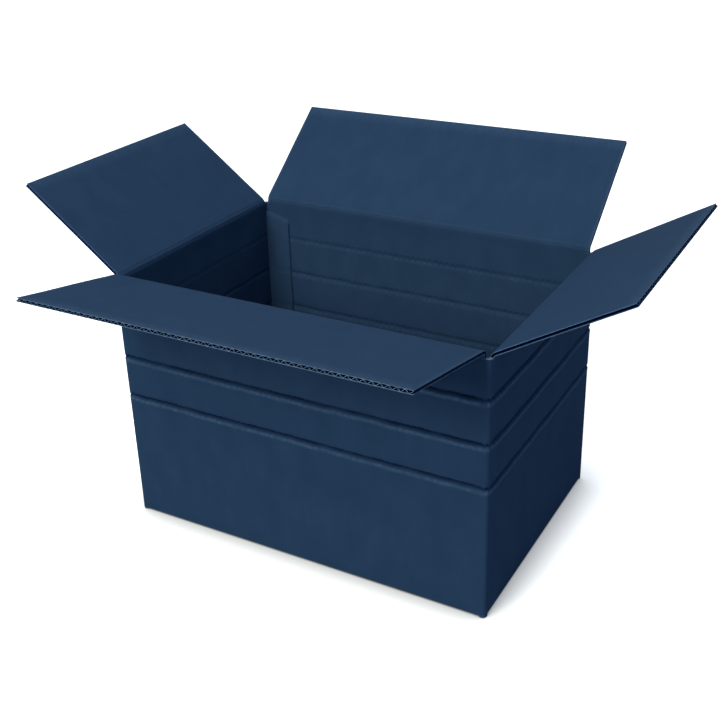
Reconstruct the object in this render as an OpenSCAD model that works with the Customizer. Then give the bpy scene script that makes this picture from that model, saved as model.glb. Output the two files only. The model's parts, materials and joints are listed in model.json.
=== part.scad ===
// Open corrugated shipping carton, one slotted sheet folded up and taped underneath.
// Origin: middle of the underside. +X along the long walls, +Y from the front wall to the back wall, +Z up.

/* [Inside size] */
// Length between the two end walls
inside_length = 457; // [300:1:600]
// Width between the front wall and the back wall
inside_width = 305; // [220:1:420]
// Height from the inner bottom flaps to the end flaps when they are closed
inside_height = 298; // [240:1:420]

/* [Board] */
// Thickness of the corrugated board
board_thickness = 4; // [3.2:0.1:5]
// Thickness of each flat liner
liner_thickness = 0.35; // [0.2:0.05:0.6]
// Thickness of the fluted medium between the liners
medium_thickness = 0.28; // [0.15:0.01:0.4]
// Distance from one flute to the next
flute_pitch = 8; // [6:0.1:10]
// Width of the glue line where a flute tip meets a liner
glue_line_width = 0.9; // [0.4:0.1:1.5]

/* [Depth scores] */
// Number of extra score lines that let the walls be cut down
depth_score_count = 3; // [0:1:4]
// Distance from the top score to the first depth score, and from each to the next
depth_score_spacing = 50.8; // [30:0.1:55]
// Width of a depth score on the outside
depth_score_width = 6; // [4:0.1:9]
// Depth of a depth score on the outside
depth_score_depth = 1.1; // [0.6:0.1:1.4]
// Depth of the same score on the inside
inner_score_depth = 0.7; // [0.4:0.1:1.2]

/* [Folds] */
// Outside radius of the corners between walls and of the bottom folds
fold_radius = 4.6; // [4.2:0.1:7]
// Thickness of the crushed board beside a top score
crushed_thickness = 1.2; // [0.8:0.1:1.8]
// Reach of the crushed board from a top score, past the board's own thickness
crush_past = 1; // [0.6:0.1:3]
// Length over which the crushed board swells back to its full thickness
crush_ramp = 1.8; // [1.2:0.1:3]
// Distance of a top score's turning line outside the wall
hinge_stand_off = 0.1; // [0.06:0.01:0.2]
// Clearance between the crushed edges on the two sides of a top score when the flap is closed
score_clearance = 0.03; // [0.02:0.01:0.08]

/* [Flaps] */
// Width of the slot cut between two flaps at each corner
slot_width = 9.5; // [8.6:0.1:14]
// Gap left between the two long flaps when they are closed
closing_gap = 4; // [1:0.5:12]
// Clearance between flaps that close over one another
stacking_clearance = 0.3; // [0.2:0.05:1]
// Angle of the front flap, outwards from upright
front_flap_angle = 79; // [0:1:170]
// Angle of the back flap, outwards from upright
back_flap_angle = 52; // [0:1:170]
// Angle of the left end flap, outwards from upright
left_flap_angle = 53; // [0:1:170]
// Angle of the right end flap, outwards from upright
right_flap_angle = 60; // [0:1:170]

/* [Bottom] */
// Gap between the two outer bottom flaps
bottom_seam = 1.5; // [0.5:0.1:5]
// Width of the packing tape under the seam
tape_width = 48; // [36:1:76]
// Thickness of the packing tape
tape_thickness = 0.15; // [0.05:0.01:0.3]
// Distance from each end of the tape to the end of the carton
tape_set_back = 9; // [7:1:40]

/* [Glued joint] */
// Width of the glued tab inside the back wall
glue_tab_width = 35; // [25:1:50]
// Thickness of the crushed tab
glue_tab_thickness = 2.6; // [1.5:0.1:4]
// Distance of the tab's ends from the top and bottom scores
glue_tab_end_gap = 12; // [8:1:30]
// Length by which the tab's ends slant
glue_tab_slant = 10; // [0:1:20]

/* [Hidden] */

outside_length = inside_length + 2 * board_thickness;
outside_width = inside_width + 2 * board_thickness;

// Levels, from the tape's underside up
floor_z = tape_thickness;
inner_flap_z = floor_z + board_thickness;
inner_floor_z = inner_flap_z + board_thickness;
end_score_z = inner_floor_z + inside_height + board_thickness + hinge_stand_off;
side_score_z = end_score_z + board_thickness + stacking_clearance;

// Flap sizes: the slot is centred on the middle of the board at the corner
slot_set_back = (board_thickness + slot_width) / 2;
long_flap_width = outside_length - 2 * slot_set_back;
end_flap_width = outside_width - 2 * slot_set_back;
flap_reach = (outside_width - closing_gap) / 2;
fold_inner_radius = fold_radius - board_thickness;
bottom_flap_reach = (outside_width - bottom_seam) / 2;

// Drop of the slots' ends below the end scores, lift of the corners' lower ends off the floor
slot_drop = 1.2;
corner_lift = 0.8;
// Room between the end wall's fold and the ends of the outer bottom flaps
step_gap = 0.5;
// Reach of a cut past the board it cuts
cut_margin = 1;
cut_top = 2 * board_thickness;

// Bevelled edge along a top score: the board is never as thick as it is far from the turning line
bevel_slope = 1.25;
edge_start = hinge_stand_off + score_clearance;
edge_full = edge_start + bevel_slope * crushed_thickness;
crush_end = board_thickness + crush_past;
crush_reach = crush_end - crush_ramp;

// Flute form: straight flanks whose lean keeps the medium's thickness even along the wave
liner_face = board_thickness / 2 - liner_thickness;
half_run = flute_pitch / 2 - glue_line_width;
rise = 2 * liner_face;
flank_height_squared = rise * rise - medium_thickness * medium_thickness;
flank_length = sqrt(half_run * half_run + flank_height_squared);
flank_lean = (half_run * rise - medium_thickness * flank_length) / flank_height_squared;
channel_mouth = flute_pitch - glue_line_width;
channel_tip = glue_line_width + 2 * medium_thickness * (flank_lean + sqrt(1 + flank_lean * flank_lean));
channel_depth = rise - medium_thickness;

// Circle that cuts a score of a given width and depth into a flat face
function score_radius(width, depth) = (width * width / 4 + depth * depth) / (2 * depth);

$fn = 48;
eps = 0.01;

// Rectangle with rounded corners, centred
module rounded_rectangle(length, width, radius) {
    square([length, width - 2 * radius], center = true);
    square([length - 2 * radius, width], center = true);
    for (x = [-1, 1], y = [-1, 1])
        translate([x * (length / 2 - radius), y * (width / 2 - radius)])
            circle(radius);
}

// One channel between the liners: its mouth on the lower liner, its tip under the medium's crest
module flute_channel() {
    mouth = channel_mouth / 2;
    tip = channel_tip / 2;
    polygon([
        [-mouth, -liner_face],
        [mouth, -liner_face],
        [tip, channel_depth - liner_face],
        [-tip, channel_depth - liner_face],
    ]);
}

// Cross-section of the board across its flutes, centred on its mid-plane
module board_section(width) {
    count = ceil(width / flute_pitch / 2) + 1;
    difference() {
        square([width, board_thickness], center = true);
        for (i = [-count:count]) {
            translate([i * flute_pitch, 0])
                flute_channel();
            translate([(i + 0.5) * flute_pitch, 0])
                mirror([0, 1])
                    flute_channel();
        }
    }
}

// Profile of the board beside a top score: y inwards from the outer face, z away from the score
module crushed_profile(length) {
    polygon([
        [0, edge_start],
        [crushed_thickness, edge_full],
        [crushed_thickness, crush_reach],
        [board_thickness, crush_end],
        [board_thickness, length],
        [0, length],
    ]);
}

// Turns a y-z profile into a bar centred on x
module along_x(length) {
    translate([-length / 2, 0, 0])
        rotate([90, 0, 90])
            linear_extrude(length)
                children();
}

// Upright flap on its score line, its outer face towards -Y
module flap(width) {
    translate([0, hinge_stand_off, 0]) {
        along_x(width)
            crushed_profile(crush_end + eps);
        translate([0, board_thickness / 2, crush_end])
            linear_extrude(flap_reach - crush_end)
                board_section(width);
    }
}

// Places a flap on the wall that faces the given way and opens it outwards
module on_wall(facing, distance, level, angle) {
    rotate([0, 0, facing])
        translate([0, -distance - hinge_stand_off, level])
            rotate([angle, 0, 0])
                children();
}

module top_flap_front() {
    color("#2d4460")
        on_wall(0, outside_width / 2, side_score_z, front_flap_angle)
            flap(long_flap_width);
}

module top_flap_back() {
    color("#2d4460")
        on_wall(180, outside_width / 2, side_score_z, back_flap_angle)
            flap(long_flap_width);
}

module top_flap_left() {
    color("#2d4460")
        on_wall(-90, outside_length / 2, end_score_z, left_flap_angle)
            flap(end_flap_width);
}

module top_flap_right() {
    color("#2d4460")
        on_wall(90, outside_length / 2, end_score_z, right_flap_angle)
            flap(end_flap_width);
}

// Board left away at a wall's top score, as a y-z profile: y inwards from the outer face, z up from the score
module score_relief_profile() {
    polygon([
        [-cut_margin, -edge_start],
        [0, -edge_start],
        [crushed_thickness, -edge_full],
        [crushed_thickness, -crush_reach],
        [board_thickness, -crush_end],
        [board_thickness + cut_margin, -crush_end],
        [board_thickness + cut_margin, cut_top],
        [-cut_margin, cut_top],
    ]);
}

// Cuts the crushed top of the wall that faces the given way
module score_relief(facing, distance, level, width) {
    rotate([0, 0, facing])
        translate([0, -distance, level])
            along_x(width)
                score_relief_profile();
}

// Straight grooves in the four faces of a rounded rectangle, cut by a circle that stands off from each face
module groove_runs(length, width, corner, cut_radius, stand_off) {
    for (facing = [0, 90, 180, 270]) {
        run = facing % 180 == 0 ? length - 2 * corner : width - 2 * corner;
        reach = facing % 180 == 0 ? width / 2 : length / 2;
        rotate([0, 0, facing])
            translate([-run / 2, -reach - stand_off, 0])
                rotate([0, 90, 0])
                    cylinder(r = cut_radius, h = run);
    }
}

// The same groove carried round the outside corners
module groove_bends(length, width, corner, cut_radius, stand_off) {
    for (x = [-1, 1], y = [-1, 1])
        translate([x * (length / 2 - corner), y * (width / 2 - corner), 0])
            rotate([0, 0, x > 0 ? (y > 0 ? 0 : -90) : (y > 0 ? 90 : 180)])
                rotate_extrude(angle = 90)
                    translate([corner + stand_off, 0])
                        circle(cut_radius);
}

// One depth score: a groove round the outside and a shallower one along each inside face
module depth_score(level) {
    outer_cut = score_radius(depth_score_width, depth_score_depth);
    inner_cut = score_radius(depth_score_width, inner_score_depth);
    outer_stand_off = outer_cut - depth_score_depth;
    translate([0, 0, level]) {
        groove_runs(outside_length, outside_width, fold_radius, outer_cut, outer_stand_off);
        groove_bends(outside_length, outside_width, fold_radius, outer_cut, outer_stand_off);
        groove_runs(inside_length, inside_width, fold_inner_radius, inner_cut, inner_score_depth - inner_cut);
    }
}

// Walls as one tube, before its top is cut to the score lines
module wall_tube() {
    wall_bottom = floor_z + fold_radius;
    translate([0, 0, wall_bottom])
        linear_extrude(side_score_z - wall_bottom)
            difference() {
                rounded_rectangle(outside_length, outside_width, fold_radius);
                rounded_rectangle(inside_length, inside_width, fold_inner_radius);
            }
}

// Corner posts below the folds: the raw ends of the walls between two bottom slots
module corner_ends() {
    end_x = long_flap_width / 2;
    end_y = end_flap_width / 2;
    translate([0, 0, floor_z + corner_lift])
        linear_extrude(fold_radius - corner_lift)
            difference() {
                rounded_rectangle(outside_length, outside_width, fold_radius);
                rounded_rectangle(inside_length, inside_width, fold_inner_radius);
                square([2 * end_x, outside_width + 2], center = true);
                square([outside_length + 2, 2 * end_y], center = true);
            }
}

// Cuts the walls' top down to the end scores, all but the long walls between their slots
module top_cuts() {
    raw_z = end_score_z - slot_drop;
    size = [outside_length + 2 * cut_margin, outside_width + 2 * cut_margin, cut_top];
    difference() {
        translate([-size.x / 2, -size.y / 2, raw_z])
            cube(size);
        translate([-long_flap_width / 2, -size.y, 0])
            cube([long_flap_width, 2 * size.y, 2 * raw_z]);
        translate([-size.x, -end_flap_width / 2, 0])
            cube([2 * size.x, end_flap_width, 2 * raw_z]);
    }
    score_relief(0, outside_width / 2, side_score_z, long_flap_width);
    score_relief(180, outside_width / 2, side_score_z, long_flap_width);
    score_relief(90, outside_length / 2, end_score_z, end_flap_width);
    score_relief(-90, outside_length / 2, end_score_z, end_flap_width);
}

// Outer bottom flap with its fold, as a y-z profile: y inwards from the outer face, z up from the floor
module outer_bottom_profile() {
    intersection() {
        translate([fold_radius, fold_radius])
            difference() {
                circle(fold_radius);
                circle(fold_inner_radius);
            }
        square(fold_radius);
    }
    translate([fold_radius, 0])
        square([bottom_flap_reach - fold_radius, board_thickness]);
}

// Inner bottom flap, which steps up over the outer ones beside the end wall's fold
module inner_bottom_profile() {
    step_end = slot_set_back - step_gap;
    intersection() {
        translate([fold_radius, fold_radius])
            circle(fold_radius);
        square(fold_radius);
    }
    polygon([
        [board_thickness, fold_radius],
        [fold_radius, 0],
        [step_end, board_thickness],
        [bottom_flap_reach, board_thickness],
        [bottom_flap_reach, 2 * board_thickness],
        [board_thickness, 2 * board_thickness],
    ]);
}

module bottom_flaps() {
    for (facing = [0, 180])
        rotate([0, 0, facing])
            translate([0, -outside_width / 2, floor_z])
                along_x(long_flap_width)
                    outer_bottom_profile();
    for (facing = [90, -90])
        rotate([0, 0, facing])
            translate([0, -outside_length / 2, floor_z])
                along_x(end_flap_width)
                    inner_bottom_profile();
}

// Tab of the maker's joint, glued inside the back wall beside the left end wall
module glue_tab() {
    low = inner_floor_z + glue_tab_end_gap;
    high = end_score_z - glue_tab_end_gap;
    left = -outside_length / 2 + board_thickness / 2;
    right = -inside_length / 2 + glue_tab_width;
    translate([0, inside_width / 2 + eps, 0])
        rotate([90, 0, 0])
            linear_extrude(glue_tab_thickness + eps)
                polygon([
                    [left, low],
                    [-inside_length / 2, low],
                    [right, low + glue_tab_slant],
                    [right, high - glue_tab_slant],
                    [-inside_length / 2, high],
                    [left, high],
                ]);
}

module carton_body() {
    color("#1f3a57") {
        difference() {
            wall_tube();
            top_cuts();
            for (i = [1:1:depth_score_count])
                depth_score(side_score_z - i * depth_score_spacing);
        }
        corner_ends();
        bottom_flaps();
        glue_tab();
    }
}

module bottom_tape() {
    color("#b9a27c")
        translate([0, 0, tape_thickness / 2])
            cube([outside_length - 2 * tape_set_back, tape_width, tape_thickness], center = true);
}

carton_body();
top_flap_front();
top_flap_back();
top_flap_left();
top_flap_right();
bottom_tape();
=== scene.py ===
"""Open corrugated shipping carton in dark blue printed board, with its four top flaps folded outwards."""
import json
import math

import bpy
import numpy as np
from mathutils import Matrix, Vector, noise


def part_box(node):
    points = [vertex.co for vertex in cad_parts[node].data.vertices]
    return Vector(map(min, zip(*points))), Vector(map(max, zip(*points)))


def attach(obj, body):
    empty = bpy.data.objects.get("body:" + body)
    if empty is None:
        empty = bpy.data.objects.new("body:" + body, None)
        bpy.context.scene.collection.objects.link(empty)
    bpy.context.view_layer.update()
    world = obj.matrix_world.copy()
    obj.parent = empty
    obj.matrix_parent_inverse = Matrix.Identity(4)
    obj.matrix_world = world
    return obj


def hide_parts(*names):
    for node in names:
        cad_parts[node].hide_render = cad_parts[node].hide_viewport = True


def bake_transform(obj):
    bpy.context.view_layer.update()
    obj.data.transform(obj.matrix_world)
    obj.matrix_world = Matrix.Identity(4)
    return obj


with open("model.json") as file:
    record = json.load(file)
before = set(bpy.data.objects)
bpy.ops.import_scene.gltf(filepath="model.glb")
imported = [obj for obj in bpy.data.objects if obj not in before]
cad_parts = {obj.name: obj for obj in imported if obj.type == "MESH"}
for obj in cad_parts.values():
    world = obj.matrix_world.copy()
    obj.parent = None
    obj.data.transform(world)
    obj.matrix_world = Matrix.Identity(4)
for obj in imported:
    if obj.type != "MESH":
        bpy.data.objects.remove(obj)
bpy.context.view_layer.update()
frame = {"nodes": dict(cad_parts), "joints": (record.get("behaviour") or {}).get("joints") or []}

MM = 0.001

# Board
BOARD = 4 * MM
LINER = 0.35 * MM
MEDIUM = 0.35 * MM
FLUTE_PITCH = 8 * MM
FLUTE_FULLNESS = 0.1
FLUTE_STEPS = 12

# Board crushed beside the top scores
CRUSHED_BOARD = 3.3 * MM
CRUSHED_WANDER = 0.2 * MM
OUTER_CLEARANCE = 1.1 * MM
INNER_CLEARANCE = 0.22 * MM
CRUSH_BLEND = 0.3 * MM
CRUSH_FLAT = 0.6 * MM
CRUSH_END = 3.2 * MM
CRUSH_MARGIN = 0.4 * MM
CRUSH_WANDER = 0.5 * MM

# Carton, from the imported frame
BODY_LOW, BODY_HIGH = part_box("carton_body")
HALF_LENGTH = BODY_HIGH.x
HALF_WIDTH = BODY_HIGH.y
FLOOR = BODY_LOW.z
JOINTS = {joint["child"]: joint for joint in frame["joints"]}
LONG_SCORE = JOINTS["front_flap"]["pos_m"][2]
END_SCORE = JOINTS["left_flap"]["pos_m"][2]
HINGE_STAND_OFF = -JOINTS["front_flap"]["pos_m"][1] - HALF_WIDTH
LONG_FLAP_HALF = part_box("top_flap_front")[1].x
END_FLAP_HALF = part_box("top_flap_left")[1].y
CLOSING_GAP = 4 * MM
FLAP_REACH = HALF_WIDTH - CLOSING_GAP / 2
FOLDED_BACK = math.radians(175)
FLAP_ROWS = 28
CREASE_SHARE = 18 / 27
CREASE_BUNCHING = 1.4
FLAP_BOW = 0.5 * MM
BOW_START = 10 * MM
BOW_RISE = 30 * MM
BOW_FALL = 40 * MM

# Folds and scores
FOLD_RADIUS = 4.6 * MM
FOLD_STEPS = 6
FOLD_ARC = 1.6 * FOLD_RADIUS
SCORE_STRIP = 6.6 * MM
SCORE_ROUNDING = 0.8 * MM
HINGE_ZONE = 1.6 * MM
SLOT_DROP = 1.2 * MM
SLOT_KERF = 0.05 * MM
CORNER_LIFT = 0.8 * MM
DEPTH_SCORE_SPACING = 50.8 * MM
DEPTH_SCORES = [LONG_SCORE - count * DEPTH_SCORE_SPACING for count in (3, 2, 1)]
SCORE_DEPTH = 2.2 * MM
SCORE_ABOVE = 4.2 * MM
SCORE_BELOW = 3 * MM
SCORE_WANDER = 0.7 * MM
SCORE_RIPPLE = 0.75 * MM
PRESS_WANDER = 0.4
PRESS_RIPPLE = 0.3
LONG_WAVE = 50 * MM
SHORT_WAVE = 14 * MM
LIP_SWELL = 1.3 * MM
LIP_END = 9 * MM
CORNER_FADE = 10 * MM
INNER_FADE = 12 * MM
DIP_AT_CORNER = 0.5
LIP_AT_CORNER = 0.15
INNER_SCORE_DEPTHS = [0.9 * MM, 0.9 * MM, 0.25 * MM]
BAND_SWELL = 0.9 * MM
BAND_FLATNESS = 4
WALL_FLATNESS = 10
SIDE_FLATNESS = 6

# Meshes: rows of points up the walls are close at the scores and wide between them
ROWS_BELOW_SCORE = [-9 * MM, -7.5 * MM]
ROWS_AT_SCORE = [0.5 * MM * step for step in range(-12, 6)]
ROWS_ABOVE_SCORE = [3.3 * MM, 4.2 * MM]
SCORE_ROWS = ROWS_BELOW_SCORE + ROWS_AT_SCORE + ROWS_ABOVE_SCORE
ROW_SPACING = 14 * MM
ROW_CLEARANCE = 10 * MM
FLAT_ROWS = 7
TOLERANCE = 0.001 * MM
SHARP_ANGLE = math.radians(38)
FACING = 0.7

# Rubbed print, painted highlight on the scores' lips and painted shade in their creases: reach on the board
# and strength
LIP_MIDDLE = 4.6 * MM
LIP_RUB_AND_HIGHLIGHT = 4.4 * MM
CREASE_SHADE_MIDDLE = 0.4 * MM
CREASE_SHADE_REACH = 3.4 * MM
SCORE_WEAR_AND_PAINTED_LIGHT = 0.9
FOLD_WEAR = 0.5
INNER_WEAR_AND_PAINTED_LIGHT = 0.4
TAB_WEAR = 0.1
HINGE_WEAR = 0.12
HINGE_RUB = 1.8 * MM
EDGE_WEAR = 0.5
END_RUB = 2 * MM
SIDE_RUB = 1.5 * MM

# Bottom and glued tab
BOTTOM_SEAM = 1.5 * MM
BOTTOM_REACH = HALF_WIDTH - BOTTOM_SEAM / 2
STEP_END = HALF_LENGTH - LONG_FLAP_HALF - 0.5 * MM
STEP_RISE = 0.4 * MM
INNER_FLAP_LEVEL = FLOOR + BOARD
INNER_FLOOR = FLOOR + 2 * BOARD
WALL_FOOT = INNER_FLOOR + 4 * MM
FLUTED_EDGE = 12 * MM
FLUTED_EDGE_ROWS = 3
TAB_WIDTH = 35 * MM
TAB_THICKNESS = 2.6 * MM
TAB_SUNK = 0.6 * MM
TAB_END_GAP = 12 * MM
TAB_SLANT = 10 * MM
TAB_ROWS = 90
TAB_END_ROWS = 1.5
TAB_END_THICKNESS = 0.2

# Each piece of the sheet lists the same three materials, in this order
SHEET_MATERIALS = ("printed", "cut_edge", "fluting")
PRINTED, CUT_EDGE, FLUTES = range(3)

# Floor, world and lamps
FLOOR_SIZE = 30.0
FLOOR_GLOW = 0.8
FLOOR_SHEEN = 0.0
FLOOR_DROP = 0.2 * MM
CONTACT_SHADOW_REACH = 55 * MM
CONTACT_SHADOW_HARDNESS = 1.2
BLACK = (0.0, 0.0, 0.0, 1.0)
WHITE = (1.0, 1.0, 1.0, 1.0)
FLOOR_SEEN = (0.85, 0.85, 0.85, 1.0)
FLOOR_BOUNCE = (0.4, 0.47, 0.54, 1.0)
FLOOR_IN_GLOSS = (0.05, 0.05, 0.05, 1.0)
WORLD_STRENGTH = 0.38
WORLD_SHEEN = 0.6
FILL_COLOUR = (0.52, 0.74, 1.0, 1.0)
KEY_COLOUR = (1.0, 1.0, 0.88, 1.0)
LAMP_TARGET = Vector((0.0, 0.0, 0.2))

# Camera fitted to the carton's edges, in pixels of a square picture and in metres
IMAGE_SIZE = 720
SENSOR_WIDTH = 36.0
FOCAL_LENGTH = 1104.9
OPTICAL_CENTRE_HEIGHT = 320
CAMERA_PLACE = Vector((0.5919, -1.0322, 0.7843))
CAMERA_AHEAD = Vector((-0.4524, 0.7892, -0.4154))
CAMERA_RIGHT = Vector((0.8734, 0.4862, -0.0274))


def wander(seed, along, across=0.0):
    """Smooth random value from about -1 to 1 at a place given in wavelengths."""
    return noise.noise(Vector((along, across, 7.3 * seed)))


def smooth_step(value):
    """Eases from 0 to 1 as the value does."""
    value = min(max(value, 0.0), 1.0)
    return value * value * (3 - 2 * value)


def between(low, high, share):
    """Value at a share of the way from low to high."""
    return low + (high - low) * share


# Node trees

def feed(tree, socket, value):
    """Links a value that is a socket to a node's input, and sets any other value there."""
    if isinstance(value, bpy.types.NodeSocket):
        tree.links.new(value, socket)
    else:
        socket.default_value = value


def add_node(tree, kind, **inputs):
    """Adds a node and feeds its named inputs."""
    node = tree.nodes.new(kind)
    for name, value in inputs.items():
        feed(tree, node.inputs[name], value)
    return node


def calculate(tree, operation, *values):
    """Adds one math node and returns its output. Each value is a number or a socket."""
    node = tree.nodes.new("ShaderNodeMath")
    node.operation = operation
    for socket, value in zip(node.inputs, values):
        feed(tree, socket, value)
    return node.outputs[0]


def add_scaled(tree, first, second, scale):
    """Adds a scaled second value to the first one."""
    return calculate(tree, "ADD", first, calculate(tree, "MULTIPLY", second, scale))


def new_group(name, kind, inputs, outputs):
    """Makes a node group with named inputs and outputs, and returns the tree and its two end nodes."""
    tree = bpy.data.node_groups.new(name, kind)
    for label, socket_type, value in inputs:
        socket = tree.interface.new_socket(name=label, in_out="INPUT", socket_type=socket_type)
        if value is not None:
            socket.default_value = value
    for label, socket_type in outputs:
        tree.interface.new_socket(name=label, in_out="OUTPUT", socket_type=socket_type)
    return tree, tree.nodes.new("NodeGroupInput"), tree.nodes.new("NodeGroupOutput")


# Corrugated board as a flat blank: flutes run along Y, the outer liner is at the bottom

def flute_wave(tree, given):
    """Offset that bends a thin flat sheet into flutes of even thickness."""
    position = tree.nodes.new("GeometryNodeInputPosition")
    place = add_node(tree, "ShaderNodeSeparateXYZ", Vector=position.outputs[0])
    across, along, side = place.outputs
    turn = calculate(tree, "DIVIDE", 2 * math.pi, given["Flute pitch"])
    phase = calculate(tree, "MULTIPLY", across, turn)
    third = calculate(tree, "MULTIPLY", phase, 3.0)
    wave = add_scaled(tree, calculate(tree, "SINE", phase), calculate(tree, "SINE", third), -FLUTE_FULLNESS)
    lean = add_scaled(tree, calculate(tree, "COSINE", phase), calculate(tree, "COSINE", third),
                      -3 * FLUTE_FULLNESS)
    clear = add_scaled(tree, given["Board thickness"], given["Liner thickness"], -2.0)
    swing = calculate(tree, "SUBTRACT", clear, given["Medium thickness"])
    rise = calculate(tree, "DIVIDE", swing, 2 * (1 + FLUTE_FULLNESS))
    slope = calculate(tree, "MULTIPLY", calculate(tree, "MULTIPLY", rise, turn), lean)
    squared = calculate(tree, "MULTIPLY", slope, slope)
    length = calculate(tree, "SQRT", calculate(tree, "ADD", squared, 1.0))
    upright = calculate(tree, "DIVIDE", side, length)
    shifted = calculate(tree, "SUBTRACT", across, calculate(tree, "MULTIPLY", upright, slope))
    half = calculate(tree, "DIVIDE", given["Width"], 2.0)
    above_low = calculate(tree, "MAXIMUM", shifted, calculate(tree, "MULTIPLY", half, -1.0))
    new_across = calculate(tree, "MINIMUM", above_low, half)
    new_side = calculate(tree, "ADD", calculate(tree, "MULTIPLY", rise, wave), upright)
    return add_node(tree, "ShaderNodeCombineXYZ", X=new_across, Y=along, Z=new_side).outputs[0]


def sheet_box(tree, given, thickness, columns):
    """A flat box as wide and long as the blank."""
    size = add_node(tree, "ShaderNodeCombineXYZ", X=given["Width"], Y=given["Length"], Z=thickness)
    box = add_node(tree, "GeometryNodeMeshCube", Size=size.outputs[0])
    tree.links.new(columns, box.inputs["Vertices X"])
    tree.links.new(given["Rows"], box.inputs["Vertices Y"])
    return box.outputs["Mesh"]


def corrugated_tree():
    """Two flat liners with a fluted medium between them."""
    lengths = ["Width", "Length", "Board thickness", "Liner thickness", "Medium thickness", "Flute pitch"]
    counts = ["Rows", "Liner columns", "Flute columns"]
    inputs = [(name, "NodeSocketFloat", None) for name in lengths]
    inputs += [(name, "NodeSocketInt", None) for name in counts]
    inputs += [(name, "NodeSocketMaterial", None) for name in ("Liner material", "Medium material")]
    tree, start, end = new_group("corrugated_board", "GeometryNodeTree", inputs,
                                 [("Mesh", "NodeSocketGeometry")])
    given = {socket.name: socket for socket in start.outputs if socket.name}
    liner = sheet_box(tree, given, given["Liner thickness"], given["Liner columns"])
    reach = calculate(tree, "SUBTRACT", given["Board thickness"], given["Liner thickness"])
    parts = []
    for share in (-0.5, 0.5):
        lift = add_node(tree, "ShaderNodeCombineXYZ", Z=calculate(tree, "MULTIPLY", reach, share))
        moved = add_node(tree, "GeometryNodeTransform", Geometry=liner, Translation=lift.outputs[0])
        parts.append(moved.outputs[0])
    medium = sheet_box(tree, given, given["Medium thickness"], given["Flute columns"])
    waved = add_node(tree, "GeometryNodeSetPosition", Geometry=medium, Position=flute_wave(tree, given))
    marked = tree.nodes.new("GeometryNodeStoreNamedAttribute")
    marked.data_type = "BOOLEAN"
    marked.domain = "FACE"
    tree.links.new(waved.outputs[0], marked.inputs["Geometry"])
    marked.inputs["Name"].default_value = "fluted"
    marked.inputs["Value"].default_value = True
    parts.append(marked.outputs[0])
    board = tree.nodes.new("GeometryNodeJoinGeometry")
    for part in parts:
        tree.links.new(part, board.inputs[0])
    real = add_node(tree, "GeometryNodeRealizeInstances", Geometry=board.outputs[0])
    is_fluted = tree.nodes.new("GeometryNodeInputNamedAttribute")
    is_fluted.data_type = "BOOLEAN"
    is_fluted.inputs["Name"].default_value = "fluted"
    plain = add_node(tree, "GeometryNodeSetMaterial", Geometry=real.outputs[0],
                     Material=given["Liner material"])
    dressed = add_node(tree, "GeometryNodeSetMaterial", Geometry=plain.outputs[0],
                       Selection=is_fluted.outputs[0], Material=given["Medium material"])
    tree.links.new(dressed.outputs[0], end.inputs[0])
    return tree


def corrugated_blank(tree, width, length, rows):
    """Runs the tree once and returns the flat blank as a plain mesh."""
    holder = bpy.data.objects.new("blank", bpy.data.meshes.new("blank"))
    bpy.context.scene.collection.objects.link(holder)
    modifier = holder.modifiers.new("board", "NODES")
    values = {
        "Width": width, "Length": length, "Board thickness": BOARD, "Liner thickness": LINER,
        "Medium thickness": MEDIUM, "Flute pitch": FLUTE_PITCH, "Rows": rows,
        "Liner columns": 2 + int(width / (FLUTE_PITCH / 2)),
        "Flute columns": 1 + int(width / FLUTE_PITCH * FLUTE_STEPS),
        "Liner material": MATERIALS["printed"], "Medium material": MATERIALS["fluting"],
    }
    modifier.node_group = tree
    for item in tree.interface.items_tree:
        if item.name in values and item.in_out == "INPUT":
            modifier[item.identifier] = values[item.name]
    bpy.context.view_layer.update()
    made = holder.evaluated_get(bpy.context.evaluated_depsgraph_get())
    mesh = bpy.data.meshes.new_from_object(made)
    bpy.data.objects.remove(holder)
    return mesh


# Mesh helpers

def mesh_points(mesh):
    """All points of a mesh, one to a row."""
    points = np.zeros(len(mesh.vertices) * 3, dtype=np.float32)
    mesh.vertices.foreach_get("co", points)
    return points.reshape(-1, 3).astype(float)


def set_sheet_map(mesh, sheet_places, wear):
    """Writes each point's place on the flat sheet, in metres, as a UV map, and its wear, painted highlight
    and painted shade as an attribute.
    """
    layer = mesh.uv_layers.get("sheet") or mesh.uv_layers.new(name="sheet")
    corners = np.zeros(len(mesh.loops), dtype=np.int32)
    mesh.loops.foreach_get("vertex_index", corners)
    layer.data.foreach_set("uv", np.array(sheet_places, dtype=np.float32)[corners].ravel())
    attribute = mesh.attributes.new("wear", "FLOAT", "POINT")
    attribute.data.foreach_set("value", np.array(wear, dtype=np.float32))


def soften(mesh):
    """Shades a mesh smooth, but for its sharp edges."""
    mesh.polygons.foreach_set("use_smooth", [True] * len(mesh.polygons))
    mesh.set_sharp_from_angle(angle=SHARP_ANGLE)
    mesh.update()


def list_sheet_materials(mesh):
    """Lists the sheet's materials in the order that the face indexes count on."""
    mesh.materials.clear()
    for key in SHEET_MATERIALS:
        mesh.materials.append(MATERIALS[key])


def new_piece(name, mesh):
    """Puts a mesh in the scene as an object, both under the same name."""
    mesh.name = name
    piece = bpy.data.objects.new(name, mesh)
    bpy.context.scene.collection.objects.link(piece)
    return piece


def medium_points(mesh):
    """Which points of a fresh blank belong to its fluted medium."""
    fluting_index = list(mesh.materials).index(MATERIALS["fluting"])
    found = np.zeros(len(mesh.vertices), dtype=bool)
    for face in mesh.polygons:
        if face.material_index == fluting_index:
            found[list(face.vertices)] = True
    return found


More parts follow.
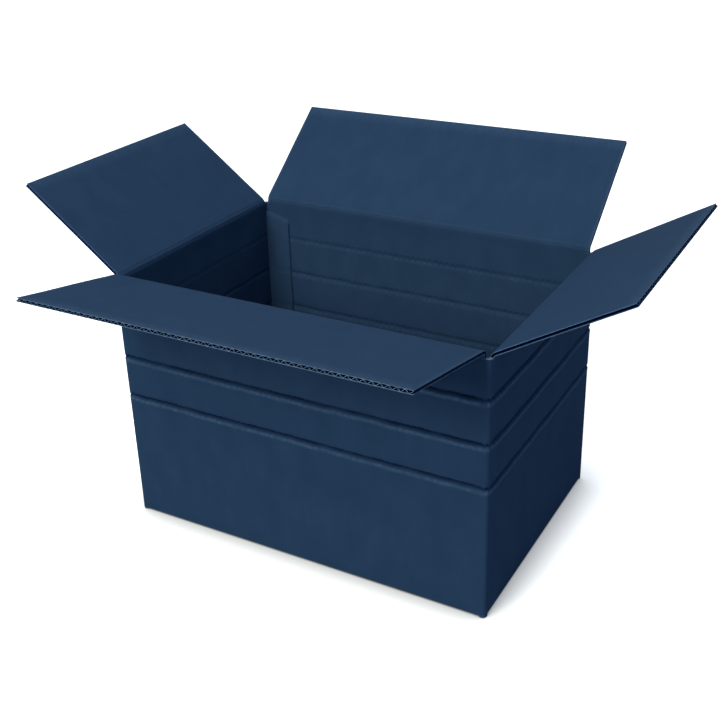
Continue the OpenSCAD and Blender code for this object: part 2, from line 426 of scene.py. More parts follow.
def mark_cut_edges(mesh):
    """Gives the free edge, on the blank's far side, and the liners' side edges the cut edge material."""
    normals = np.zeros(len(mesh.polygons) * 3, dtype=np.float32)
    mesh.polygons.foreach_get("normal", normals)
    facing = normals.reshape(-1, 3)
    indexes = np.zeros(len(mesh.polygons), dtype=np.int32)
    mesh.polygons.foreach_get("material_index", indexes)
    fluted = indexes == list(mesh.materials).index(MATERIALS["fluting"])
    list_sheet_materials(mesh)
    indexes[:] = PRINTED
    indexes[fluted] = FLUTES
    indexes[facing[:, 1] > FACING] = CUT_EDGE
    indexes[~fluted & (np.abs(facing[:, 0]) > FACING)] = CUT_EDGE
    mesh.polygons.foreach_set("material_index", indexes)


# Perimeter of the carton, counter-clockwise from the left end of the front wall

def new_panel(facing, distance, half, flap_half, score):
    """A wall with its top and bottom flaps: the way it faces, how far out and how wide it is."""
    return {"facing": facing, "distance": distance, "half": half, "flap_half": flap_half,
            "score": score, "long": score == LONG_SCORE}


def walked_round(panels):
    """Gives each panel the place of its middle on the flat sheet."""
    walked = 0.0
    for panel in panels:
        panel["middle"] = walked + panel["half"]
        walked += 2 * panel["half"]
    return panels


FRONT = new_panel(0, HALF_WIDTH, HALF_LENGTH, LONG_FLAP_HALF, LONG_SCORE)
RIGHT = new_panel(90, HALF_LENGTH, HALF_WIDTH, END_FLAP_HALF, END_SCORE)
BACK = new_panel(180, HALF_WIDTH, HALF_LENGTH, LONG_FLAP_HALF, LONG_SCORE)
LEFT = new_panel(-90, HALF_LENGTH, HALF_WIDTH, END_FLAP_HALF, END_SCORE)
PANELS = walked_round([FRONT, RIGHT, BACK, LEFT])


def turned(panel, across, outward, up):
    """Point on a panel: across its middle, outward from the carton's centre, and up."""
    angle = math.radians(panel["facing"])
    x = across * math.cos(angle) + outward * math.sin(angle)
    y = across * math.sin(angle) - outward * math.cos(angle)
    return Vector((x, y, up))


def score_offset(along, level, count):
    """Height above a depth score's wavy line, and how strongly the board is pressed there."""
    flute = math.cos(2 * math.pi * along / FLUTE_PITCH)
    wobble = wander(11 + count, along / LONG_WAVE) + wander(21 + count, along / SHORT_WAVE)
    line = DEPTH_SCORES[count] + SCORE_WANDER * wobble + SCORE_RIPPLE * flute
    press = 1 + PRESS_WANDER * wander(31 + count, along / SHORT_WAVE) + PRESS_RIPPLE * flute
    return level - line, press


def score_dip(along, level, depths, lip):
    """Depth of the depth scores at a place on the sheet: a crease with a swollen lip below it."""
    total = 0.0
    for count, depth in enumerate(depths):
        offset, press = score_offset(along, level, count)
        reach = SCORE_ABOVE if offset > 0 else SCORE_BELOW
        total += depth * press * (1 - smooth_step(abs(offset) / reach))
        if -LIP_END < offset < 0:
            fall = 1 - smooth_step((-offset - SCORE_BELOW) / (LIP_END - SCORE_BELOW))
            total -= lip * press * smooth_step(-offset / SCORE_BELOW) * fall
    return total


def band_swell(panel, across, level):
    """Outward swell of the board between two scores, none at the corners: rounder in the narrow bands."""
    levels = [FLOOR + FOLD_RADIUS] + DEPTH_SCORES + [panel["score"] - SCORE_STRIP]
    window = 1 - abs(across / panel["flap_half"]) ** SIDE_FLATNESS
    if window <= 0:
        return 0.0
    for low, high in zip(levels, levels[1:]):
        if low < level < high:
            middle = 2 * (level - low) / (high - low) - 1
            is_band = high - low < 2 * DEPTH_SCORE_SPACING
            rounded = 1 - abs(middle) ** (BAND_FLATNESS if is_band else WALL_FLATNESS)
            uneven = 0.8 + 0.5 * wander(5, across / 0.2 + panel["facing"], level / 0.1)
            return BAND_SWELL * window * rounded * uneven
    return 0.0


# Walls and bottom flaps

def new_column(panel, across, in_flap=False, turn=0.0):
    """A column of points up a wall, or part of the way round its next corner."""
    along = panel["middle"] + across + 2 * FOLD_RADIUS * turn / (math.pi / 2)
    return {"panel": panel, "across": across, "in_flap": in_flap, "turn": turn, "along": along}


def body_columns():
    """Columns round the carton, at every half flute across each flap."""
    columns = []
    for panel in PANELS:
        flap = panel["flap_half"]
        run = panel["half"] - FOLD_RADIUS
        count = int(round(2 * flap / (FLUTE_PITCH / 2)))
        stations = [(-run, False), (-flap - SLOT_KERF, False)]
        stations += [(between(-flap, flap, i / count), True) for i in range(count + 1)]
        stations += [(flap + SLOT_KERF, False), (run, False)]
        columns += [new_column(panel, across, in_flap) for across, in_flap in stations]
        columns += [new_column(panel, run, turn=k / FOLD_STEPS * math.pi / 2) for k in range(1, FOLD_STEPS)]
    return columns


def body_rows():
    """Rows up the sheet: bottom flap from its free edge, its fold, then the wall's levels."""
    rows = [("flat", 1 - i / FLAT_ROWS) for i in range(FLAT_ROWS)]
    rows += [("step", 0.0)]
    rows += [("fold", 1 - k / FOLD_STEPS) for k in range(FOLD_STEPS)]
    levels = [FLOOR + FOLD_RADIUS, WALL_FOOT]
    levels += [score + offset for score in DEPTH_SCORES for offset in SCORE_ROWS]
    levels += [panel_top(True), panel_top(False), END_SCORE - SLOT_DROP]
    edges = [WALL_FOOT] + DEPTH_SCORES + [panel_top(False)]
    for low, high in zip(edges, edges[1:]):
        count = max(3, int((high - low) / ROW_SPACING))
        first, last = low + ROW_CLEARANCE, high - ROW_CLEARANCE
        levels += [between(first, last, i / count) for i in range(count + 1)]
    return rows + [("wall", level) for level in sorted(set(round(level, 6) for level in levels))]


def panel_top(long_panel):
    """Level at which a wall meets the strip that belongs to its top flap."""
    return (LONG_SCORE if long_panel else END_SCORE) - SCORE_STRIP


def wall_place(column, level, inner):
    """Point on the outer or inner face of a wall or a vertical corner."""
    panel, across, turn = column["panel"], column["across"], column["turn"]
    swell = band_swell(panel, across, level) if column["in_flap"] else 0.0
    if inner:
        near = 0.0 if turn else smooth_step((panel["flap_half"] - abs(across)) / INNER_FADE)
        outward = swell + near * score_dip(column["along"], level, INNER_SCORE_DEPTHS, 0.0)
        reach = FOLD_RADIUS - BOARD + outward
    else:
        run = panel["half"] - FOLD_RADIUS
        clear = 0.0 if turn else smooth_step((run - abs(across)) / CORNER_FADE)
        dip = SCORE_DEPTH * between(DIP_AT_CORNER, 1.0, clear)
        lip = LIP_SWELL * between(LIP_AT_CORNER, 1.0, clear)
        outward = swell - score_dip(column["along"], level, [dip] * len(DEPTH_SCORES), lip)
        reach = FOLD_RADIUS + outward
    away = panel["distance"] - FOLD_RADIUS + reach * math.cos(turn)
    return turned(panel, across + reach * math.sin(turn), away, level)


def bottom_place(column, kind, share, inner):
    """Point on a bottom flap or its fold. Outer flaps lie on the floor and inner ones on top of them."""
    panel = column["panel"]
    if not column["in_flap"]:
        return wall_place(column, FLOOR + CORNER_LIFT, inner)
    across = column["across"]
    quarter = share * math.pi / 2
    if panel["long"]:
        radius = FOLD_RADIUS - BOARD if inner else FOLD_RADIUS
        if kind == "fold":
            inward = FOLD_RADIUS - radius * math.cos(quarter)
            level = FLOOR + FOLD_RADIUS - radius * math.sin(quarter)
        else:
            inward = STEP_END if kind == "step" else between(STEP_END, BOTTOM_REACH, share)
            level = FLOOR + (BOARD if inner else 0.0)
    else:
        if kind == "fold":
            inward = between(BOARD, STEP_END, share) if inner else FOLD_RADIUS * (1 - math.cos(quarter))
            level = INNER_FLOOR if inner else FLOOR + FOLD_RADIUS * (1 - math.sin(quarter))
        else:
            first = STEP_END + STEP_RISE
            inward = first if kind == "step" else between(first, BOTTOM_REACH - FLUTED_EDGE, share)
            level = INNER_FLOOR if inner else INNER_FLAP_LEVEL
    return turned(panel, across, panel["distance"] - inward, level)


def body_place(column, row, inner):
    """Point of the sheet at a column and a row."""
    kind, value = row
    if kind != "wall":
        return bottom_place(column, kind, value, inner)
    on_end_flap = column["in_flap"] and not column["panel"]["long"]
    if inner and on_end_flap and value < WALL_FOOT - TOLERANCE:
        value = INNER_FLOOR
    return wall_place(column, value, inner)


def body_wear_and_painted_light(column, row):
    """How rubbed the print is at the folds and the scores' lips, where a painted highlight is added to the
    rub. Below nought it is painted shade in a crease.
    """
    kind, value = row
    if kind == "fold":
        return FOLD_WEAR
    wear = 0.0
    if kind == "wall":
        for count in range(len(DEPTH_SCORES)):
            offset, press = score_offset(column["along"], value, count)
            # Lip: rubbed print with a painted highlight. Crease: painted shade, taken off below nought.
            lip = smooth_step(1 - abs(offset + LIP_MIDDLE) / LIP_RUB_AND_HIGHLIGHT)
            crease = smooth_step(1 - abs(offset - CREASE_SHADE_MIDDLE) / CREASE_SHADE_REACH)
            wear += SCORE_WEAR_AND_PAINTED_LIGHT * press * (lip - crease)
    return wear


def sheet_level(row):
    """Place of a row up the flat sheet."""
    kind, value = row
    if kind == "wall":
        return value
    if kind == "fold":
        return FLOOR + FOLD_RADIUS - FOLD_ARC * value
    return FLOOR - FOLD_RADIUS - value * BOTTOM_REACH


def cell_present(left, right, lower, upper):
    """Whether the board is there between two columns and two rows."""
    in_flap = left["in_flap"] and right["in_flap"] and left["panel"] is right["panel"]
    if lower[0] == "wall":
        top = panel_top(left["panel"]["long"]) if in_flap else END_SCORE - SLOT_DROP
        return upper[1] < top + TOLERANCE
    if in_flap:
        return True
    return lower[0] == "fold" and upper[0] == "wall"


def carton_sheet():
    """Walls, corners and bottom flaps as one closed sheet of board."""
    columns, rows = body_columns(), body_rows()
    count = len(columns)
    cells = {(i, j) for i in range(count) for j in range(len(rows) - 1)
             if cell_present(columns[i], columns[(i + 1) % count], rows[j], rows[j + 1])}
    indexes, points, places, wear = {}, [], [], []

    def point(i, j, inner):
        key = (i % count, j, inner)
        if key not in indexes:
            column, row = columns[key[0]], rows[j]
            indexes[key] = len(points)
            points.append(tuple(body_place(column, row, inner)))
            places.append((column["along"], sheet_level(row)))
            wear.append(body_wear_and_painted_light(column, row) * (INNER_WEAR_AND_PAINTED_LIGHT if inner else 1.0))
        return indexes[key]

    faces, slots = [], []
    for i, j in sorted(cells):
        ring = [(i, j), (i + 1, j), (i + 1, j + 1), (i, j + 1)]
        faces.append([point(a, b, False) for a, b in ring])
        faces.append([point(a, b, True) for a, b in reversed(ring)])
        slots += [PRINTED, PRINTED]
        neighbours = [(i, j - 1), ((i + 1) % count, j), (i, j + 1), ((i - 1) % count, j)]
        for k, neighbour in enumerate(neighbours):
            if neighbour not in cells:
                a, b = ring[k], ring[(k + 1) % 4]
                faces.append([point(*b, False), point(*a, False), point(*a, True), point(*b, True)])
                under_flap = k == 2 and columns[i]["in_flap"] and columns[(i + 1) % count]["in_flap"]
                slots.append(PRINTED if under_flap else CUT_EDGE)
    mesh = bpy.data.meshes.new("carton_sheet")
    mesh.from_pydata(points, [], faces)
    list_sheet_materials(mesh)
    mesh.polygons.foreach_set("material_index", slots)
    set_sheet_map(mesh, places, wear)
    soften(mesh)
    return new_piece("carton_sheet", mesh)


def bottom_flap_edge(tree, panel):
    """Last stretch of an inner bottom flap, with open flutes along its free edge."""
    mesh = corrugated_blank(tree, 2 * panel["flap_half"], FLUTED_EDGE, FLUTED_EDGE_ROWS)
    points = mesh_points(mesh)
    mark_cut_edges(mesh)
    places = []
    for index, (across, along, side) in enumerate(points):
        inward = BOTTOM_REACH - FLUTED_EDGE / 2 + along
        level = INNER_FLAP_LEVEL + BOARD / 2 + side
        places.append((panel["middle"] + across, FLOOR - FOLD_RADIUS - inward))
        mesh.vertices[index].co = turned(panel, across, panel["distance"] - inward, level)
    set_sheet_map(mesh, places, [0.0] * len(places))
    soften(mesh)
    return new_piece("bottom_flap_edge", mesh)


def glue_tab():
    """Tab of the maker's joint, crushed and glued to the inside of the back wall at the left end."""
    panel = BACK
    low, high = INNER_FLOOR + TAB_END_GAP, END_SCORE - TAB_END_GAP
    inner_half = HALF_LENGTH - BOARD
    # Each place across the tab is a share of its width, with a share of its thickness
    crushed_edge = [(0.9, 1.0), (0.965, 0.8), (1.0, 0.15)]
    profile = [(-0.04, 1.0), (0.3, 1.0), (0.6, 1.0)] + crushed_edge
    width = len(profile)
    points, places = [], []
    for j in range(TAB_ROWS + 1):
        end_distance = min(j, TAB_ROWS - j) / TAB_END_ROWS
        end_taper = between(TAB_END_THICKNESS, 1.0, smooth_step(end_distance))
        for share, thickness in profile:
            across = inner_half - share * TAB_WIDTH
            slant = TAB_SLANT * max(share, 0.0)
            level = between(low + slant, high - slant, j / TAB_ROWS)
            wall = wall_place(new_column(panel, across, in_flap=True), level, True)
            for offset in (TAB_THICKNESS * thickness * end_taper, -TAB_SUNK):
                points.append(tuple(wall + turned(panel, 0.0, -offset, 0.0)))
                places.append((panel["middle"] + across, level))

    def at(j, i, side):
        return (j * width + i) * 2 + side

    faces = []
    ring = [(i, 0) for i in range(width)] + [(i, 1) for i in reversed(range(width))]
    for j in range(TAB_ROWS):
        for a, b in zip(ring, ring[1:] + ring[:1]):
            faces.append([at(j, *a), at(j, *b), at(j + 1, *b), at(j + 1, *a)])
    for j, near, far in ((0, 1, 0), (TAB_ROWS, 0, 1)):
        for i in range(width - 1):
            faces.append([at(j, i, near), at(j, i + 1, near), at(j, i + 1, far), at(j, i, far)])
    mesh = bpy.data.meshes.new("glue_tab")
    mesh.from_pydata(points, [], faces)
    list_sheet_materials(mesh)
    set_sheet_map(mesh, places, [TAB_WEAR] * len(places))
    soften(mesh)
    return new_piece("glue_tab", mesh)


def joined(name, pieces):
    """Joins pieces that share their list of materials into one object."""
    bpy.ops.object.select_all(action="DESELECT")
    for piece in pieces:
        piece.select_set(True)
    bpy.context.view_layer.objects.active = pieces[0]
    bpy.ops.object.join()
    pieces[0].name = name
    pieces[0].data.name = name
    return pieces[0]


# Top flaps

def outer_path(distance, rest_angle):
    """Point and inward direction on the outer face at a distance along the board from the score.
    Both are (inward, up) from the hinge axis, with the flap opened outwards by the rest angle."""
    half_turn = rest_angle / 2
    arc = SCORE_ROUNDING * rest_angle
    stand = (SCORE_ROUNDING - HINGE_STAND_OFF) / math.cos(half_turn)
    centre = np.array([-stand * math.cos(half_turn), -stand * math.sin(half_turn)])
    turn = min(max(distance / arc + 0.5, 0.0), 1.0) * rest_angle
    inward = np.array([math.cos(turn), math.sin(turn)])
    ahead = np.array([-math.sin(turn), math.cos(turn)])
    past = distance - min(max(distance, -arc / 2), arc / 2)
    return centre + SCORE_ROUNDING * inward + past * ahead, inward


def flap_end(rest_angle):
    """Distance along the board at which the free edge lies at the flap's reach from the axis."""
    cut_off = (SCORE_ROUNDING - HINGE_STAND_OFF) * math.tan(rest_angle / 2)
    return FLAP_REACH + SCORE_ROUNDING * rest_angle / 2 - cut_off


def flap_distance(share, end):
    """Distance of a row from the score. Rows are bunched there."""
    if share <= CREASE_SHARE:
        offset = 2 * share / CREASE_SHARE - 1
        return math.copysign(abs(offset) ** CREASE_BUNCHING, offset) * SCORE_STRIP
    return between(SCORE_STRIP, end, (share - CREASE_SHARE) / (1 - CREASE_SHARE))


def board_thickness_at(distance, along):
    """Thickness of the board beside a top score, crushed in a slightly uneven band."""
    if abs(distance) > CRUSH_END:
        return BOARD
    uneven = wander(51, along / (9 * MM)) + wander(52, along / (30 * MM))
    edge = abs(distance) + CRUSH_WANDER * uneven
    swell = smooth_step((edge - CRUSH_FLAT) / (CRUSH_END - CRUSH_FLAT - CRUSH_MARGIN))
    crushed = CRUSHED_BOARD + CRUSHED_WANDER * wander(53, along / (6 * MM))
    return between(crushed, BOARD, swell)


def squeezed(depth, thickness, is_medium):
    """Depth of a point in crushed board: liners keep their thickness, and the medium stays clear."""
    if is_medium:
        clear = smooth_step((BOARD - thickness) / CRUSH_BLEND)
        low = LINER + clear * OUTER_CLEARANCE
        high = thickness - LINER - clear * INNER_CLEARANCE
        return between(low, high, (depth - LINER) / (BOARD - 2 * LINER))
    return depth if depth < BOARD / 2 else thickness - (BOARD - depth)


def flap_wear(distance, end, from_side):
    """How rubbed a top flap is at its score, its free edge and its sides."""
    near_score = smooth_step(1 - abs(distance) / HINGE_RUB)
    near_edge = smooth_step(1 - (end - distance) / END_RUB)
    near_side = smooth_step(1 - from_side / SIDE_RUB)
    return max(HINGE_WEAR * near_score, EDGE_WEAR * near_edge, EDGE_WEAR * near_side)


def flap_bow(distance, end, along):
    """How far the open part of a flap bows out of its plane."""
    from_score = smooth_step((distance - BOW_START) / BOW_RISE)
    from_edge = smooth_step((end - distance) / BOW_FALL)
    return FLAP_BOW * from_score * from_edge * wander(60, along / (110 * MM), distance / (90 * MM))


def top_flap(tree, panel, body, node):
    """A flap with its crushed score and the strip of wall under it, fluted up to its cut edges."""
    rest_angle = FOLDED_BACK - math.radians(JOINTS[body]["range_deg"][1])
    end = flap_end(rest_angle)
    mesh = corrugated_blank(tree, 2 * panel["flap_half"], 1.0, FLAP_ROWS)
    points = mesh_points(mesh)
    mediums = medium_points(mesh)
    mark_cut_edges(mesh)
    axis_distance = panel["distance"] + HINGE_STAND_OFF
    places, wear, final = [], [], []
    for (across, share, side), is_medium in zip(points, mediums):
        distance = flap_distance(share + 0.5, end)
        along = panel["middle"] + across
        thickness = board_thickness_at(distance, along)
        depth = squeezed(BOARD / 2 + side, thickness, is_medium) + flap_bow(distance, end, along)
        surface, inward = outer_path(distance, rest_angle)
        place = surface + inward * depth
        final.append(turned(panel, across, axis_distance - place[0], panel["score"] + place[1]))
        places.append((along, panel["score"] + distance))
        wear.append(flap_wear(distance, end, panel["flap_half"] - abs(across)))
    mesh.vertices.foreach_set("co", np.array(final, dtype=np.float32).ravel())
    set_sheet_map(mesh, places, wear)
    soften(mesh)
    piece = new_piece(body + "_board", mesh)
    for distance in (-HINGE_ZONE, HINGE_ZONE):
        surface = outer_path(distance, rest_angle)[0]
    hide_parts(node)
    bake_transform(piece)


# Finishes

def group_node(tree, group, **inputs):
    """Adds a node group and feeds its inputs. Underscores in their names stand for spaces."""
    node = tree.nodes.new("ShaderNodeGroup")
    node.node_tree = group
    for name, value in inputs.items():
        feed(tree, node.inputs[name.replace("_", " ")], value)
    return node


def stretched_noise(tree, place, per_metre_along, per_metre_up, detail):
    """Noise over the sheet with its own scale each way."""
    scale = (per_metre_along, per_metre_up, 1.0)
    mapping = add_node(tree, "ShaderNodeMapping", Vector=place, Scale=scale)
    node = add_node(tree, "ShaderNodeTexNoise", Vector=mapping.outputs[0], Scale=1.0, Detail=detail)
    return node.outputs["Fac"]


def paper_fibre_group():
    """Fibres and cloudy formation of kraft paper, as a tone around nought and a height."""
    inputs = [("Place", "NodeSocketVector", None), ("Fibre strength", "NodeSocketFloat", 0.5),
              ("Cloud strength", "NodeSocketFloat", 0.5)]
    outputs = [("Tone", "NodeSocketFloat"), ("Height", "NodeSocketFloat")]
    tree, start, end = new_group("paper_fibres", "ShaderNodeTree", inputs, outputs)
    place = start.outputs["Place"]
    fibres = stretched_noise(tree, place, 1400.0, 320.0, 4.0)
    specks = stretched_noise(tree, place, 420.0, 420.0, 2.0)
    clouds = stretched_noise(tree, place, 38.0, 22.0, 4.0)
    fine = calculate(tree, "SUBTRACT", calculate(tree, "ADD", fibres, specks), 1.0)
    broad = calculate(tree, "SUBTRACT", clouds, 0.5)
    fine_tone = calculate(tree, "MULTIPLY", fine, start.outputs["Fibre strength"])
    tone = add_scaled(tree, fine_tone, broad, start.outputs["Cloud strength"])
    tree.links.new(tone, end.inputs["Tone"])
    tree.links.new(fine, end.inputs["Height"])
    return tree


def washboard_group():
    """Faint ridges where the liner is glued to each flute tip."""
    inputs = [("Place", "NodeSocketVector", None), ("Pitch", "NodeSocketFloat", FLUTE_PITCH)]
    tree, start, end = new_group("washboard", "ShaderNodeTree", inputs, [("Height", "NodeSocketFloat")])
    place = start.outputs["Place"]
    across = add_node(tree, "ShaderNodeSeparateXYZ", Vector=place).outputs[0]
    turns = calculate(tree, "DIVIDE", across, start.outputs["Pitch"])
    ridge = calculate(tree, "COSINE", calculate(tree, "MULTIPLY", turns, 2 * math.pi))
    patchy = stretched_noise(tree, place, 30.0, 14.0, 2.0)
    tree.links.new(calculate(tree, "MULTIPLY", ridge, patchy), end.inputs["Height"])
    return tree


def wear_and_highlight_group():
    """Rubbed print and painted highlight: the worn places of the sheet and the scores' lips, broken up by
    the paper's grain. Its Wear input also holds the painted light.
    """
    inputs = [("Place", "NodeSocketVector", None), ("Wear", "NodeSocketFloat", 0.0),
              ("Amount", "NodeSocketFloat", 0.5)]
    tree, start, end = new_group("rubbed_print", "ShaderNodeTree", inputs, [("Mask", "NodeSocketFloat")])
    grain = stretched_noise(tree, start.outputs["Place"], 260.0, 110.0, 5.0)
    rough = calculate(tree, "ADD", calculate(tree, "MULTIPLY", grain, 1.4), -0.2)
    wear_and_light = calculate(tree, "MULTIPLY", start.outputs["Wear"], start.outputs["Amount"])
    mask = calculate(tree, "MULTIPLY", wear_and_light, rough)
    limited = calculate(tree, "MAXIMUM", calculate(tree, "MINIMUM", mask, 1.0), 0.0)
    tree.links.new(limited, end.inputs["Mask"])
    return tree


def mixed_colour(tree, factor, first, second):
    """Mixes two colours. A Mix node keeps its colour sockets at 6 and 7, and its colour result at 2."""
    node = tree.nodes.new("ShaderNodeMix")
    node.data_type = "RGBA"
    feed(tree, node.inputs[0], factor)
    feed(tree, node.inputs[6], first)
    feed(tree, node.inputs[7], second)
    return node.outputs[2]


def linear(red, green, blue):
    """Colour given as 0 to 255 display values, as linear RGBA."""
    values = []
    for value in (red, green, blue):
        share = value / 255
        values.append(share / 12.92 if share <= 0.04045 else ((share + 0.055) / 1.055) ** 2.4)
    return (*values, 1.0)


# Colours, and the sheen of the printed board

NAVY_DARK = linear(24, 45, 70)
NAVY_LIGHT = linear(36, 57, 84)
# Rubbed print with painted highlight on the scores' lips, and painted shade in their creases
NAVY_WORN_AND_HIGHLIGHT = linear(78, 104, 132)
NAVY_CREASE_SHADE = linear(1, 21, 50)
EDGE_DARK = linear(58, 82, 110)
EDGE_LIGHT = linear(104, 126, 154)
# Medium near black navy, as painted shade for the flute channels
FLUTE_SHADE_DARK = linear(1, 8, 40)
FLUTE_SHADE_LIGHT = linear(5, 20, 62)
TAPE_DARK = linear(148, 116, 72)
TAPE_LIGHT = linear(178, 146, 98)
BOARD_SHEEN = 0.08


def new_material(name):
    """Makes a material and returns it with its tree and its shader."""
    material = bpy.data.materials.new(name)
    material.use_nodes = True
    tree = material.node_tree
    shader = tree.nodes["Principled BSDF"]
    return material, tree, shader


def sheet_place(tree):
    """Place on the flat sheet, in metres."""
    node = tree.nodes.new("ShaderNodeUVMap")
    node.uv_map = "sheet"
    return node.outputs[0]


def bumped(tree, shader, *layers):
    """Stacks bump layers, each a height, a distance in metres and a strength."""
    normal = None
    for height, distance, strength in layers:
        node = add_node(tree, "ShaderNodeBump", Height=height, Distance=distance, Strength=strength)
        if normal is not None:
            tree.links.new(normal, node.inputs["Normal"])
        normal = node.outputs[0]
    tree.links.new(normal, shader.inputs["Normal"])


def object_place(tree):
    """Place on the piece itself, in metres."""
    return tree.nodes.new("ShaderNodeTexCoord").outputs["Object"]


def printed_board():
    """Liner printed solid dark blue: matt, fibrous, paler where it is rubbed, with painted highlight on the
    scores' lips and painted shade in their creases.
    """
    material, tree, shader = new_material("printed_board")
    place = sheet_place(tree)
    fibres = group_node(tree, GROUPS["fibres"], Place=place, Fibre_strength=0.55, Cloud_strength=0.9)
    ridges = group_node(tree, GROUPS["washboard"], Place=place)
    wear_and_light = tree.nodes.new("ShaderNodeAttribute")
    wear_and_light.attribute_name = "wear"
    rubbed = group_node(tree, GROUPS["wear"], Place=place, Wear=wear_and_light.outputs["Fac"], Amount=0.55)
    tone = calculate(tree, "ADD", fibres.outputs["Tone"], 0.5)
    base = mixed_colour(tree, tone, NAVY_DARK, NAVY_LIGHT)
    # Painted shade in the scores' creases, where the attribute is below nought
    crease_shaded = mixed_colour(tree, calculate(tree, "MULTIPLY", wear_and_light.outputs["Fac"], -1.0), base, NAVY_CREASE_SHADE)
    # Rubbed print, and the painted highlight on the scores' lips
    colour = mixed_colour(tree, rubbed.outputs["Mask"], crease_shaded, NAVY_WORN_AND_HIGHLIGHT)
    tree.links.new(colour, shader.inputs["Base Color"])
    tree.links.new(add_scaled(tree, 0.8, fibres.outputs["Tone"], 0.12), shader.inputs["Roughness"])
    shader.inputs["Specular IOR Level"].default_value = BOARD_SHEEN
    bumped(tree, shader, (ridges.outputs["Height"], 0.06 * MM, 0.6),
           (fibres.outputs["Height"], 0.05 * MM, 0.5))
    return material


def raw_paper(name, dark, light, fibres, clouds, roughness, sheen, grain):
    """Unprinted paper with loose fibres, in one colour all the way through."""
    material, tree, shader = new_material(name)
    paper = group_node(tree, GROUPS["fibres"], Place=object_place(tree), Fibre_strength=fibres,
                       Cloud_strength=clouds)
    tone = calculate(tree, "ADD", paper.outputs["Tone"], 0.5)
    tree.links.new(mixed_colour(tree, tone, dark, light), shader.inputs["Base Color"])
    tree.links.new(add_scaled(tree, roughness, paper.outputs["Tone"], 0.1), shader.inputs["Roughness"])
    shader.inputs["Specular IOR Level"].default_value = sheen
    distance, strength = grain
    bumped(tree, shader, (paper.outputs["Height"], distance, strength))
    return material


def cut_edge():
    """Raw edge of a liner, paler than its print."""
    return raw_paper("cut_edge", EDGE_DARK, EDGE_LIGHT, fibres=1.2, clouds=0.4, roughness=0.85, sheen=0.05,
                     grain=(0.1 * MM, 0.8))


def fluting():
    """Medium between the liners, near black navy: painted shade for the dark flute channels."""
    return raw_paper("fluting", FLUTE_SHADE_DARK, FLUTE_SHADE_LIGHT, fibres=0.8, clouds=0.6, roughness=0.88, sheen=0.02,
                     grain=(0.06 * MM, 0.6))


def packing_tape():
    """Glossy brown tape, faintly rippled over the seam."""
    material, tree, shader = new_material("packing_tape")
    place = object_place(tree)
    streaks = stretched_noise(tree, place, 6.0, 260.0, 3.0)
    ripples = stretched_noise(tree, place, 90.0, 30.0, 3.0)
    tree.links.new(mixed_colour(tree, streaks, TAPE_DARK, TAPE_LIGHT), shader.inputs["Base Color"])
    tree.links.new(add_scaled(tree, 0.2, ripples, 0.15), shader.inputs["Roughness"])
    bumped(tree, shader, (ripples, 0.1 * MM, 0.5))
    return material


# Stage, lights and camera

def background_rays(tree, rays, sheen):
    """How much of the white background a ray sees: all of it from the camera and through clear things,
    and the given share of it in gloss."""
    direct = calculate(tree, "MAXIMUM", rays.outputs["Is Camera Ray"], rays.outputs["Is Transmission Ray"])
    glossy = calculate(tree, "MULTIPLY", rays.outputs["Is Glossy Ray"], sheen)
    return calculate(tree, "MAXIMUM", direct, glossy)


def studio_floor():
    """Pale floor that runs out to a white background and keeps the carton's shadow, with a painted contact
    shadow where ambient occlusion darkens its colour and glow.
    """
    mesh = bpy.data.meshes.new("studio_floor")
    corners = [(-FLOOR_SIZE, -FLOOR_SIZE), (FLOOR_SIZE, -FLOOR_SIZE), (FLOOR_SIZE, FLOOR_SIZE),
               (-FLOOR_SIZE, FLOOR_SIZE)]
    mesh.from_pydata([(x, y, -FLOOR_DROP) for x, y in corners], [], [(0, 1, 2, 3)])
    floor = new_piece("studio_floor", mesh)
    material, tree, shader = new_material("studio_floor")
    shader.inputs["Roughness"].default_value = 0.9
    shader.inputs["Specular IOR Level"].default_value = 0.0
    rays = tree.nodes.new("ShaderNodeLightPath")
    seen = background_rays(tree, rays, FLOOR_SHEEN)
    shader.inputs["Emission Color"].default_value = WHITE
    # Painted contact shadow: ambient occlusion darkens the floor's colour and glow beside the carton
    openness = add_node(tree, "ShaderNodeAmbientOcclusion", Distance=CONTACT_SHADOW_REACH).outputs["AO"]
    contact_shadow = calculate(tree, "POWER", openness, CONTACT_SHADOW_HARDNESS)
    pale = mixed_colour(tree, contact_shadow, BLACK, FLOOR_SEEN)
    bounce = mixed_colour(tree, rays.outputs["Is Glossy Ray"], FLOOR_BOUNCE, FLOOR_IN_GLOSS)
    tree.links.new(mixed_colour(tree, seen, bounce, pale), shader.inputs["Base Color"])
    glow = calculate(tree, "MULTIPLY", calculate(tree, "MULTIPLY", seen, contact_shadow), FLOOR_GLOW)
    tree.links.new(glow, shader.inputs["Emission Strength"])
    mesh.materials.append(material)


def studio_world():
    """White background to the camera, dim soft light on the carton."""
    world = bpy.data.worlds.new("studio")
    world.use_nodes = True
    tree = world.node_tree
    background = tree.nodes["Background"]
    seen = background_rays(tree, tree.nodes.new("ShaderNodeLightPath"), WORLD_SHEEN)
    tree.links.new(mixed_colour(tree, seen, FILL_COLOUR, WHITE), background.inputs["Color"])
    lit = calculate(tree, "MULTIPLY", seen, 1.0 - WORLD_STRENGTH)
    tree.links.new(calculate(tree, "ADD", lit, WORLD_STRENGTH), background.inputs["Strength"])
    bpy.context.scene.world = world


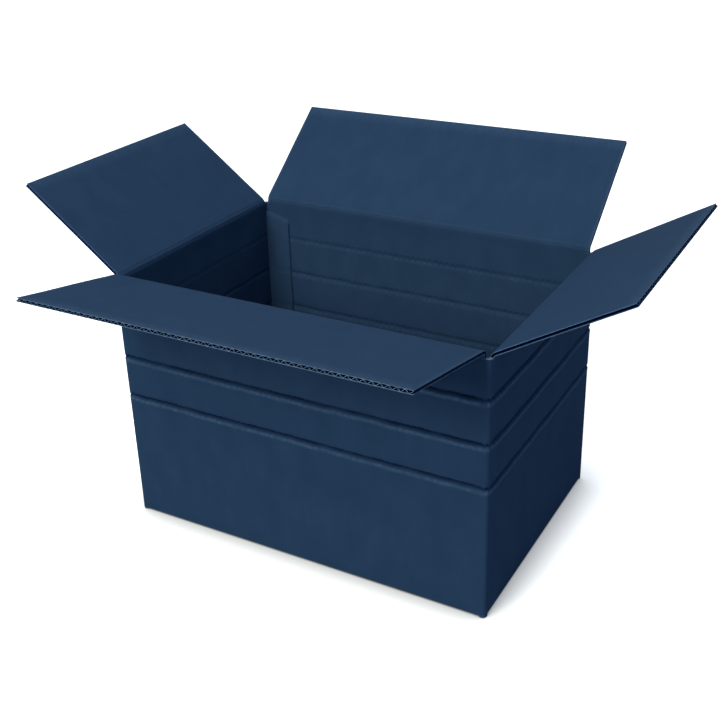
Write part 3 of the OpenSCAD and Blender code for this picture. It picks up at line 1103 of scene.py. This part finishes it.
def soft_lamp(name, place, size, power, colour):
    """Square lamp aimed at the carton: its width in metres and its power in watts."""
    lamp = bpy.data.lights.new(name, "AREA")
    lamp.color = colour[:3]
    lamp.shape = "SQUARE"
    lamp.size = size
    lamp.energy = power
    holder = bpy.data.objects.new(name, lamp)
    holder.location = place
    holder.rotation_mode = "QUATERNION"
    holder.rotation_quaternion = (LAMP_TARGET - Vector(place)).to_track_quat("-Z", "Y")
    bpy.context.scene.collection.objects.link(holder)


def photo_camera():
    """Camera of the photograph."""
    data = bpy.data.cameras.new("camera")
    data.sensor_width = SENSOR_WIDTH
    data.lens = SENSOR_WIDTH * FOCAL_LENGTH / IMAGE_SIZE
    data.shift_y = (OPTICAL_CENTRE_HEIGHT - IMAGE_SIZE / 2) / IMAGE_SIZE
    camera = bpy.data.objects.new("camera", data)
    ahead = CAMERA_AHEAD.normalized()
    right = (CAMERA_RIGHT - CAMERA_RIGHT.dot(ahead) * ahead).normalized()
    turn = Matrix((right, right.cross(ahead), -ahead)).transposed()
    camera.matrix_world = Matrix.Translation(CAMERA_PLACE) @ turn.to_4x4()
    bpy.context.scene.collection.objects.link(camera)
    bpy.context.scene.camera = camera


# The scene

GROUPS = {"fibres": paper_fibre_group(), "washboard": washboard_group(), "wear": wear_and_highlight_group()}
MATERIALS = {"printed": printed_board(), "cut_edge": cut_edge(), "fluting": fluting(),
             "tape": packing_tape()}

board_tree = corrugated_tree()
body_parts = [carton_sheet(), glue_tab()]
body_parts += [bottom_flap_edge(board_tree, panel) for panel in (RIGHT, LEFT)]
carton = joined("carton_board", body_parts)
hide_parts("carton_body")
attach(carton, "carton")

top_flap(board_tree, FRONT, "front_flap", "top_flap_front")
top_flap(board_tree, RIGHT, "right_flap", "top_flap_right")
top_flap(board_tree, BACK, "back_flap", "top_flap_back")
top_flap(board_tree, LEFT, "left_flap", "top_flap_left")

tape = frame["nodes"]["bottom_tape"]
tape.data.materials.clear()
tape.data.materials.append(MATERIALS["tape"])

studio_floor()
studio_world()
soft_lamp("key_light", (-0.4, -2.6, 1.8), 1.1, 67.0, KEY_COLOUR)
soft_lamp("high_light", (-0.3, -1.7, 2.5), 1.1, 44.0, KEY_COLOUR)
soft_lamp("side_light", (2.6, -0.2, 1.3), 1.4, 12.0, FILL_COLOUR)
soft_lamp("back_light", (0.3, 1.8, 2.3), 1.4, 14.0, KEY_COLOUR)
photo_camera()
bpy.context.scene.view_settings.view_transform = "Standard"
